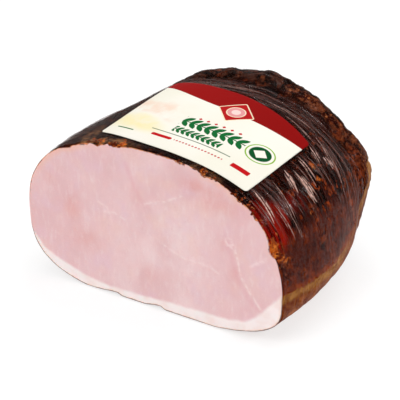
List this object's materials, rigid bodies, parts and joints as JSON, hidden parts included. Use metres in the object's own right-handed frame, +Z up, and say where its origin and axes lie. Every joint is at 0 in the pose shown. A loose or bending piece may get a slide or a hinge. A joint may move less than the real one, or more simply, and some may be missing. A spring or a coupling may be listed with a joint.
{
  "type": "smoked ham",
  "caption": "Half of a boneless smoked ham, cut straight across to show the pink meat and its fat edge, sealed in tight clear film with a label on top.",
  "frame": {"origin": "under the middle of the ham's outer size, on the plane it rests on", "axes": "+Z up; +X to the right across the cut face; the cut face looks along -Y and the closed round end along +Y"},
  "size_m": [0.2072, 0.2, 0.1267],
  "materials": {
    "filmed_ham": "dark brown smoked crust, pale pink cut and white fat under tight glossy clear film",
    "label_print": "satin cream paper with a dark red band and plain coloured fields"
  },
  "bodies": {
    "root": {"ham": "filmed_ham", "label": "label_print"}
  },
  "joints": []
}
